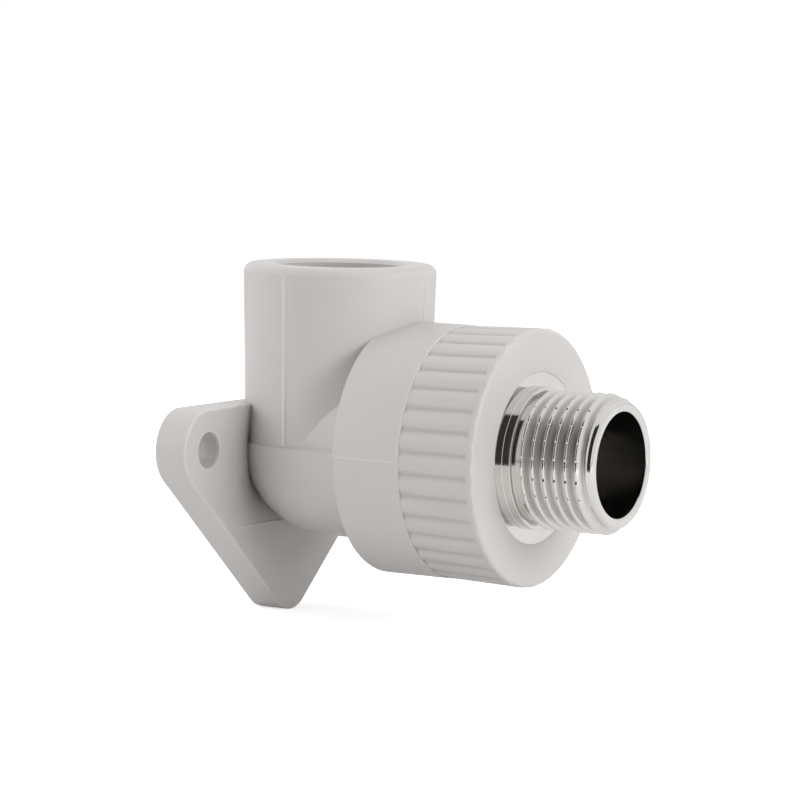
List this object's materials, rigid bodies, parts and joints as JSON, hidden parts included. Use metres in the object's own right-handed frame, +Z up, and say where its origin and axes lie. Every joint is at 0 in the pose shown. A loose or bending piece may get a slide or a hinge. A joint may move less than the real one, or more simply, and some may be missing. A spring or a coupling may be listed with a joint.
{
  "type": "wall plate elbow",
  "caption": "Plastic pipe elbow with an upright weld socket, a triangular wall plate and a plated male thread facing away from the wall.",
  "frame": {"origin": "on the wall face, midway between the two screw holes, where the thread's axis meets the wall", "axes": "+Z up along the pipe socket, -Y along the thread, away from the wall, +X to the right seen from the front"},
  "size_m": [0.0598, 0.0624, 0.0541],
  "materials": {
    "grey_polypropylene": "moulded, satin",
    "plated_brass": "bright nickel plate, turned"
  },
  "bodies": {
    "root": {"moulded_body": "grey_polypropylene", "threaded_insert": "plated_brass"}
  },
  "joints": []
}
